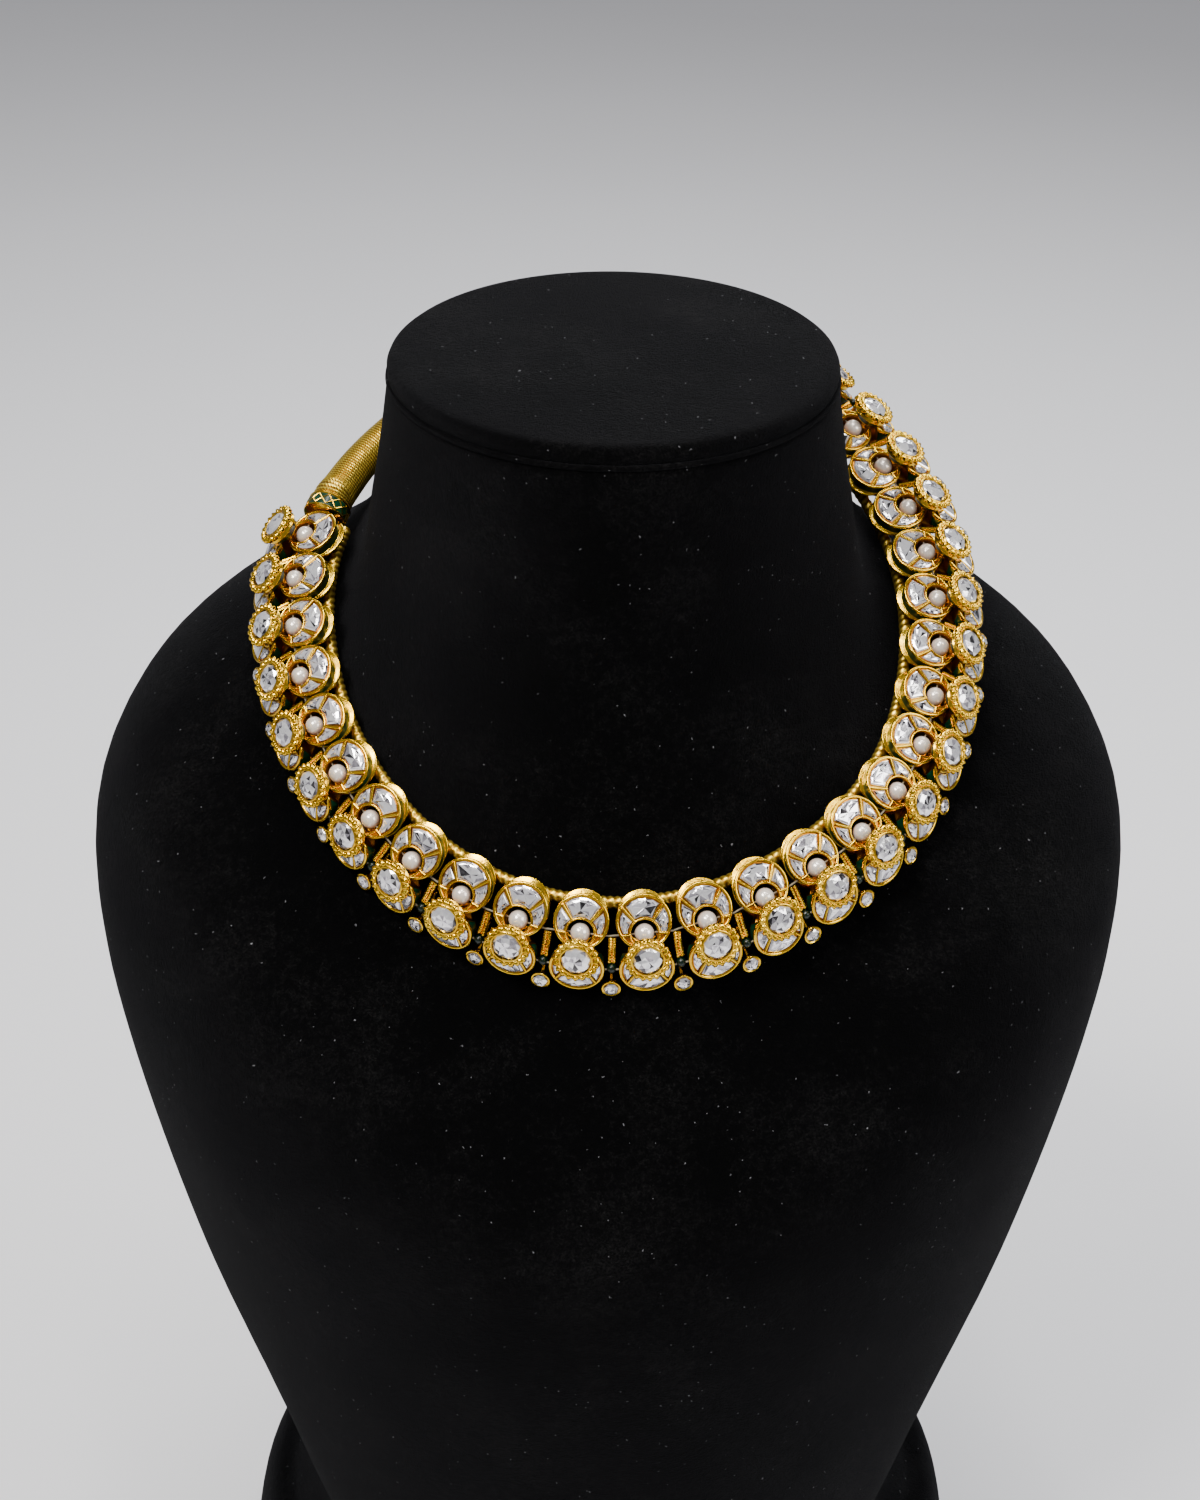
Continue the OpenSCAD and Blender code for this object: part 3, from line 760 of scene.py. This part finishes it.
def gold_unit():
    """One soldered gold unit in its own frame: gold, enamel, and gold darkened as painted shade in
    its recesses and undersides.
    """
    unit = bmesh.new()
    join(unit, crescent_setting(UPPER_OUT, FACE_HEIGHT, 4.0, 6.1))
    join(unit, hole_collar(FACE_HEIGHT, -1.2))
    join(unit, cell_walls(UPPER_OUT, FACE_HEIGHT))

    flange = [
        (2.65, 5.7, 3.42), (2.65, 5.85, 3.55), (2.65, 5.85, 3.85), (2.65, 5.7, 3.98),
        (6.3, 3.0, 3.98), (6.3, 3.0, 3.42)]
    join(unit, ringed(flange + flange[:1], 40))
    # Drum, base and keel sit between and under the settings in darkened gold, painted shade.
    drum = [
        (4.7, 5.35, 1.6), (4.7, 5.5, 1.75), (4.7, 5.5, 3.3), (4.7, 5.3, 3.5),
        (6.8, 3.25, 3.5), (6.8, 3.25, 1.6)]
    join(unit, ringed(drum + drum[:1], 40, 2))
    base = [
        (6.6, 4.45, -1.2), (6.6, 4.6, -1.05), (6.6, 4.6, 1.7), (6.8, 3.25, 1.7), (6.8, 3.25, -1.2)]
    join(unit, ringed(base + base[:1], 36, 2))

    keel = turned([
        (0, -1.2), (4.25, -1.2), (4.4, -1.05), (4.4, 1.6), (4.2, 1.8), (0, 1.8)], 32, 2)
    join(unit, keel, Matrix.Translation((0, 13.6, 0)))
    stem = turned([(2.0, 1.2), (2.0, 8.0), (1.8, 8.3)], 20)
    join(unit, stem, Matrix.Translation((0, 12.1, 0)))

    lower = bmesh.new()
    # The underside of the disc and the floor under its stones are darkened gold, painted shade.
    disc = turned([
        (0, -3.4), (5.8, -3.4), (5.98, -3.3), (6.0, -3.05), (6.02, -2.95), (6.36, -0.8),
        (6.42, -0.7), (6.47, -0.4), (6.45, -0.12), (6.33, 0.04), (6.11, 0.12), (5.87, 0.04),
        (5.7, -0.14), (5.7, -0.5), (0, -0.5)], 40,
        bands=[2, 0, 0, 0, 1, 0, 0, 0, 0, 0, 0, 0, 2, 2])
    join(lower, disc)
    join(lower, cell_walls(0, 0), Matrix.Rotation(math.pi, 4, "Z"))
    inner = [
        (-2.7, 3.24, -0.5), (-2.7, 3.24, 0.0), (-2.7, 3.34, 0.06), (-2.7, 3.56, 0.06),
        (-2.7, 3.66, 0.0), (-2.7, 3.66, -0.5)]
    join(lower, ringed(inner + inner[:1], 32))
    bmesh.ops.transform(lower, matrix=LOWER_FACE, verts=lower.verts)
    for cut, side in (((0, 11.2, 0), (0, 1, 0)), ((0, 0, -1.2), (0, 0, 1))):
        bmesh.ops.bisect_plane(
            lower, geom=list(lower.verts) + list(lower.edges) + list(lower.faces),
            dist=1e-5, plane_co=cut, plane_no=side, clear_inner=True)
        bmesh.ops.holes_fill(lower, edges=[e for e in lower.edges if e.is_boundary], sides=0)
    join(unit, lower)
    join(unit, stud(), STUD_FACE)
    return unit


def place_units():
    """One gold piece for each unit, all from one template."""
    unit = gold_unit()
    template = bpy.data.meshes.new("unit")
    unit.to_mesh(template)
    unit.free()
    for k, angle in enumerate(UNIT_ANGLES):
        mesh = bmesh.new()
        mesh.from_mesh(template)
        bmesh.ops.transform(mesh, matrix=necklace_frame(angle), verts=mesh.verts)
        name = f"unit_{k + 1:02d}"
        finish_piece(mesh, "gold_" + name, [GOLD, ENAMEL, SHADED_GOLD], [name], sharp=58)
    bpy.data.meshes.remove(template)


def place_stones():
    """The stones of the upper settings, the lower settings and the studs."""
    chance = random.Random(7)
    upper, lower, studs = [], [], []
    for angle in UNIT_ANGLES:
        place = necklace_frame(angle)
        face = place @ Matrix.Translation((0, UPPER_OUT, FACE_HEIGHT))
        turned_face = place @ LOWER_FACE @ Matrix.Rotation(math.pi, 4, "Z")
        upper += [(cell_stone(cell, chance), face) for cell in CELLS]
        lower += [(cell_stone(cell, chance), turned_face) for cell in CELLS]
        spin = Matrix.Rotation(chance.uniform(0, 6), 4, "Z")
        studs.append((round_stone(3.45, 1.0, 0.7, 9, chance), place @ STUD_FACE @ spin))
    stone_piece("polki_upper", ["upper_stones"], upper)
    stone_piece("polki_lower", ["lower_stones"], lower)
    stone_piece("polki_studs", ["stud_stones"], studs)


def place_pearls():
    """Slightly uneven pearls in the holes of the upper settings."""
    chance = random.Random(3)
    mesh = bmesh.new()
    for angle in UNIT_ANGLES:
        pearl = bmesh.new()
        bmesh.ops.create_uvsphere(pearl, u_segments=20, v_segments=14, radius=PEARL_RADIUS)
        for face in pearl.faces:
            face.smooth = True
        squash = Matrix.Diagonal((1, chance.uniform(0.96, 1.0), chance.uniform(0.95, 1.0), 1))
        turn = Matrix.Rotation(chance.uniform(0, 3), 4, "X")
        seat = necklace_frame(angle) @ Matrix.Translation((0, *PEARL_PLACE))
        join(mesh, pearl, seat @ turn @ squash)
    finish_piece(mesh, "drilled_pearls", [PEARL], ["pearls"])


def room_between(k):
    """Distance between the lower settings on either side of a gap."""
    here, there = (necklace_point(UNIT_ANGLES[j], (LOWER_OUT, LOWER_HEIGHT)) for j in (k, k + 1))
    return (there - here).length


def place_spacers():
    """Ribbed bars, posts and collets between the units, with their stones and dark beads."""
    chance = random.Random(11)
    metal = bmesh.new()
    stones = []
    beads = bmesh.new()
    for k, angle in enumerate(GAP_ANGLES):
        place = necklace_frame(angle)
        room = room_between(k)
        crowd = min(max(ROOMY_PITCH - room, 0), 1)
        start = (7.5 + crowd * 0.5, 5.2)
        end = (13.4 - crowd * 1.8, 4)
        for side in (-0.46, 0.46):
            bar = rod(Vector((side, *start)), Vector((side, *end)), 0.56, 8, ribs=9, swell=0.24)
            join(metal, bar, place)
        join(metal, rod(Vector((0, 10.3, -0.4)), Vector((0, 10.3, 4.4)), 0.4), place)
        join(metal, rod(Vector((0, 9.8, -0.4)), Vector((0, 19, -0.4)), 0.4), place)
        radius = 2.3 - crowd * 0.3
        collet = turned([
            (0, -1.8), (radius * 0.66, -1.8), (radius * 0.72, -1.7), (radius * 0.72, -1.0),
            (radius * 0.94, -0.9), (radius, -0.75), (radius, -0.25), (radius * 0.95, -0.05),
            (radius * 0.84, 0.02), (radius * 0.76, -0.1), (radius * 0.76, -0.4), (0, -0.4)], 24)
        seat = place @ Matrix.Translation((0, 20 + crowd * 0.3, 1)) @ LOWER_TILT
        join(metal, collet, seat)
        stones.append((round_stone(radius * 0.74, 0.5, 0.35, 7, chance), seat))
        bead_radius = min(1.15, (room - 2 * SETTING_RADIUS) / 2 - 0.05)
        if bead_radius > 0.4:
            bead = bmesh.new()
            bmesh.ops.create_uvsphere(bead, u_segments=12, v_segments=8, radius=bead_radius)
            for face in bead.faces:
                face.smooth = True
            join(beads, bead, place @ Matrix.Translation((0, *BEAD_PLACE)))
    finish_piece(metal, "spacer_bars", [GOLD], ["spacers"])
    stone_piece("collet_stones", (), stones)
    finish_piece(beads, "thread_beads", [BEAD_GLASS])


# Tube, collars and wound cord

def sweep_frames(points):
    """Each point of a route with its directions across and up."""
    frames = []
    for k, here in enumerate(points):
        run = (points[min(k + 1, len(points) - 1)] - points[max(k - 1, 0)]).normalized()
        across = run.cross(Vector((0, 0, 1))).normalized()
        frames.append((here, across, across.cross(run)))
    return frames


def resampled(points, step):
    """Evenly spaced points on a smooth curve through a route."""
    dense = []
    for k in range(len(points) - 1):
        near = [points[min(max(k + j, 0), len(points) - 1)] for j in (-1, 0, 1, 2)]
        dense += [through(*near, t / 12) for t in range(12)]
    dense.append(points[-1])
    runs = [0]
    for a, b in zip(dense, dense[1:]):
        runs.append(runs[-1] + (b - a).length)
    count = round(runs[-1] / step)
    even = []
    for k in range(count + 1):
        run = runs[-1] * k / count
        j = min(bisect.bisect_right(runs, run) - 1, len(dense) - 2)
        even.append(dense[j].lerp(dense[j + 1], (run - runs[j]) / (runs[j + 1] - runs[j])))
    return even, runs[-1]


def swept(points, radius_at, sides):
    """A closed tube along a route; radius_at(turn, k) gives the radius at each point."""
    frames = sweep_frames(points)
    last = len(points) - 1

    def place(turn, run):
        k = round(run * last)
        here, across, up = frames[k]
        angle = 2 * math.pi * turn
        return here + radius_at(turn, k) * (math.sin(angle) * across + math.cos(angle) * up)
    tube = wrapped(sides, last, place)
    fill_ends(tube)
    return tube


def neck_tube():
    """Gold wire cord along the neck side, twisted from strands."""
    start = line_point(LEFT_END) + COLLAR_CLEAR * along(LEFT_END)
    end = line_point(RIGHT_END) - COLLAR_CLEAR * along(RIGHT_END)
    first = UNIT_RUNS[0] - 5
    run = UNIT_RUNS[-1] + 5 - first
    route = [start] + [line_point(angle_at(first + run * k / 72)) for k in range(73)] + [end]
    points, _ = resampled(route, TUBE_STEP)

    def radius_at(turn, k):
        strand = math.cos(2 * math.pi * (2 * turn - k * TUBE_STEP / TUBE_TWIST))
        return TUBE_RADIUS * (1.02 + 0.09 * strand)
    tube = swept(points, radius_at, 12)
    turns = len(points) * TUBE_STEP / TUBE_TWIST
    # The darker colour is painted shade in the grooves of the twisted tube.
    metal = wound_finish("tube_gold", turns, -2, 3, (0.96, 0.68, 0.09), (0.42, 0.2, 0.01))
    finish_piece(tube, "twisted_neck_tube", [metal], ["neck_tube"], sharp=70)


def collar_offset(angle):
    """How far out and up from the line the middle of an end collar lies."""
    middle = necklace_point(angle, COLLAR_PLACE)
    line = line_point(angle)
    out = math.hypot(middle.x, middle.y) - math.hypot(line.x, line.y)
    return Vector((out, middle.z - line.z))


def nape_share(angle, side):
    """Share of the way from a collar to the middle of the nape, eased at both ends."""
    return (1 - math.cos(math.pi * (abs(angle) - abs(side)) / (180 - abs(side)))) / 2


def nape_point(angle):
    """Point on the middle of the cord round the nape."""
    side = LEFT_END if angle < 0 else RIGHT_END
    offset = mix(collar_offset(side), Vector((1, 0)), nape_share(angle, side))
    turn = math.radians(angle)
    radius = line_value(angle, 1) + offset.x
    height = line_point(angle).z + offset.y
    return Vector((radius * math.sin(turn), -radius * math.cos(turn), height))


def nape_radius(angle):
    """Radius of the cord, thick at the collars and thin at the nape."""
    side = LEFT_END if angle < 0 else RIGHT_END
    return mix(CORD_END_RADIUS, CORD_NAPE_RADIUS, math.sqrt(nape_share(angle, side)))


def nape_cord():
    """Cord wound with gold thread, from collar to collar round the nape."""
    turn = 360 + LEFT_END - RIGHT_END
    angles = [RIGHT_END + turn * k / 20 for k in range(1, 20)]
    angles = [a - 360 if a > 180 else a for a in angles]
    begin = necklace_point(RIGHT_END, COLLAR_PLACE)
    end = necklace_point(LEFT_END, COLLAR_PLACE)
    far = COLLAR_CLEAR + CORD_LEAD
    route = [begin + COLLAR_CLEAR * along(RIGHT_END), begin + far * along(RIGHT_END)]
    route += [nape_point(a) for a in angles]
    route += [end - far * along(LEFT_END), end - COLLAR_CLEAR * along(LEFT_END)]
    radii = [CORD_END_RADIUS] * 2 + [nape_radius(a) for a in angles] + [CORD_END_RADIUS] * 2
    points, length = resampled(route, CORD_STEP)
    spread = [0]
    for a, b in zip(route, route[1:]):
        spread.append(spread[-1] + (b - a).length)

    def radius_at(turn, k):
        run = spread[-1] * k / (len(points) - 1)
        j = min(bisect.bisect_right(spread, run) - 1, len(route) - 2)
        plain = mix(radii[j], radii[j + 1], (run - spread[j]) / (spread[j + 1] - spread[j]))
        rib = math.cos(2 * math.pi * (k * CORD_STEP / CORD_RIB + turn))
        return plain - 0.22 + 0.22 * rib
    cord = swept(points, radius_at, 24)
    # The dark colour is painted shade in the grooves between the windings.
    metal = wound_finish(
        "wound_gold", length / CORD_RIB, 1, 34, (0.99, 0.76, 0.1), (0.22, 0.085, 0.004))
    finish_piece(cord, "wound_nape_cord", [metal], ["nape_cord"], sharp=70)


def end_collars():
    """Green enamel collars with gold rims and a gold lattice."""
    half = COLLAR_LENGTH / 2
    lengthwise = Matrix.Rotation(math.pi / 2, 4, "Y")
    for name, angle in (("left_collar", LEFT_END), ("right_collar", RIGHT_END)):
        place = necklace_frame(angle) @ Matrix.Translation((0, *COLLAR_PLACE)) @ lengthwise
        mesh = bmesh.new()
        band = turned([
            (0, -half), (5.0, -half), (5.35, -half + 0.12), (5.5, -half + 0.35),
            (5.35, -half + 0.6), (5.28, -half + 0.66), (5.32, 0), (5.28, half - 0.66),
            (5.35, half - 0.6), (5.5, half - 0.35), (5.35, half - 0.12), (5.0, half),
            (0, half)], 48,
            bands=[0, 0, 0, 0, 0, 1, 1, 0, 0, 0, 0, 0])
        join(mesh, band)
        for k in range(12):
            first = 2 * math.pi * k / 12
            for lean in (-1, 1):
                near = Vector((5.33 * math.cos(first), 5.33 * math.sin(first), -lean * 1.35))
                second = first + math.pi / 12 * 1.9
                over = Vector((5.33 * math.cos(second), 5.33 * math.sin(second), lean * 1.35))
                middle = (near + over) / 2
                middle.xy = middle.xy.normalized() * 5.36
                join(mesh, rod(near, middle, 0.17, 6))
                join(mesh, rod(middle, over, 0.17, 6))
        bmesh.ops.transform(mesh, matrix=place, verts=mesh.verts)
        finish_piece(mesh, "enamelled_" + name, [GOLD, ENAMEL], [name])


# Bust

def belt_value(belt, kind, column):
    """Drop (kind 0) or radius (kind 1) in a belt; both sides are alike."""
    column %= 12
    nearest = BELTS[min(max(belt, 0), len(BELTS) - 1)]
    return nearest[kind][12 - column if column > 6 else column]


def belt_blend(belt, kind, turn):
    """Smooth value round a belt."""
    k = math.floor(turn)
    return through(*[belt_value(belt, kind, k + j) for j in (-1, 0, 1, 2)], turn - k)


def bust_point(height, turn):
    """Point on the bust, counted in belts from the top and in steps round from the front."""
    k = min(math.floor(height), len(BELTS) - 2)
    drop, radius = (
        through(*[belt_blend(k + j, kind, turn) for j in (-1, 0, 1, 2)], height - k)
        for kind in (0, 1))
    angle = math.radians(turn * TABLE_ANGLE)
    return Vector((radius * math.sin(angle), -radius * math.cos(angle), BUST_HEIGHT - drop))


def bust_shell():
    """Velvet shell of neck, shoulders and chest on its flared foot."""
    def place(turn, run):
        return bust_point((1 - run) * (len(BELTS) - 1), turn * 12)
    mesh = wrapped(120, 132, place)
    bmesh.ops.recalc_face_normals(mesh, faces=mesh.faces)
    shell = finish_piece(mesh, "velvet_bust", [VELVET], ["bust_shell"], sharp=180)
    wall = shell.modifiers.new("wall", "SOLIDIFY")
    wall.thickness = BUST_WALL * MILLIMETRE
    wall.offset = -1


def neck_cap():
    """Velvet cap on the neck, with a padded edge and a piped seam under it."""
    top = []
    for k in range(15):
        share = k / 14
        top.append((49.5 * (1 - share), 1.4 * (1 - (1 - share) ** 2)))
    profile = [
        (0, -5), (51.2, -5), (51.9, -4.4), (52.3, -3.4), (52.3, -2.0), (51.8, -0.9), (50.9, -0.2)]
    mesh = turned(profile + top, 120)
    turns = [math.pi * k / 4 for k in range(9)]
    piping = [(0, 52.0 + 0.75 * math.cos(a), -5.0 + 0.75 * math.sin(a)) for a in turns]
    join(mesh, ringed(piping, 120))
    bmesh.ops.translate(mesh, vec=(0, 0, BUST_HEIGHT), verts=mesh.verts)
    finish_piece(mesh, "velvet_neck_cap", [VELVET], ["neck_cap"], sharp=80)


def dress_node(name, material):
    """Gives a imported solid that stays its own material."""
    data = nodes[name].data
    data.materials.clear()
    data.materials.append(material)


place_units()
place_stones()
place_pearls()
place_spacers()
neck_tube()
nape_cord()
end_collars()
bust_shell()
neck_cap()
dress_node("pearl_thread", THREAD)
dress_node("bead_thread", THREAD)
dress_node("cord_slide", GOLD)
dress_node("foot_plate", FELT)


# Camera, floor and light

CAMERA_PLACE = (-0.00231, -0.51731, 0.6481)
CAMERA_PITCH = 32.3
CAMERA_ROLL = 0.5
CAMERA_LENS = 57.6


def set_camera():
    """The photograph's view, looking down and rolled a little."""
    pitch = math.radians(CAMERA_PITCH)
    roll = math.radians(CAMERA_ROLL)
    level_right = Vector((1, 0, 0))
    level_up = Vector((0, math.sin(pitch), math.cos(pitch)))
    ahead = Vector((0, math.cos(pitch), -math.sin(pitch)))
    right = math.cos(roll) * level_right + math.sin(roll) * level_up
    up = -math.sin(roll) * level_right + math.cos(roll) * level_up
    data = bpy.data.cameras.new("camera")
    data.sensor_fit = "VERTICAL"
    data.sensor_height = 36
    data.lens = CAMERA_LENS
    data.clip_start = 0.01
    camera = bpy.data.objects.new("camera", data)
    bpy.context.scene.collection.objects.link(camera)
    place = Matrix((right, up, -ahead)).transposed().to_4x4()
    camera.matrix_world = Matrix.Translation(CAMERA_PLACE) @ place
    bpy.context.scene.camera = camera


def soft_light(name, place, target, size, power, colour):
    """A rectangular light at a place, facing its target."""
    data = bpy.data.lights.new(name, "AREA")
    data.shape = "RECTANGLE"
    data.size, data.size_y = size
    data.energy = power
    data.color = colour
    light = bpy.data.objects.new(name, data)
    bpy.context.scene.collection.objects.link(light)
    light.location = place
    light.rotation_euler = (Vector(target) - Vector(place)).to_track_quat("-Z", "Y").to_euler()


def set_studio():
    """Pale floor, soft world and soft lights."""
    floor_mesh = bmesh.new()
    bmesh.ops.create_grid(floor_mesh, x_segments=1, y_segments=1, size=8)
    data = bpy.data.meshes.new("floor")
    floor_mesh.to_mesh(data)
    floor_mesh.free()
    data.materials.append(floor_finish())
    floor = bpy.data.objects.new("floor", data)
    bpy.context.scene.collection.objects.link(floor)

    world = bpy.data.worlds.new("studio")
    bpy.context.scene.world = world
    world.use_nodes = True
    background = world.node_tree.nodes["Background"]
    background.inputs["Color"].default_value = (0.9, 0.93, 1.0, 1)
    background.inputs["Strength"].default_value = 0.3
    middle = (0, 0, 0.33)
    soft_light("key", (-0.5, -0.55, 1.45), middle, (0.5, 0.35), 21, (1, 0.97, 0.92))
    soft_light("fill", (0.9, -0.5, 0.9), middle, (0.6, 0.6), 9, (1, 0.98, 0.96))
    soft_light("back", (0.2, 0.9, 1.1), middle, (0.9, 0.4), 12, (0.93, 0.97, 1))
    for x in (-0.28, 0.02, 0.32):
        soft_light("top_strip", (x, -0.1, 1.5), middle, (0.06, 0.9), 4.4, (1, 0.98, 0.95))


set_camera()
set_studio()
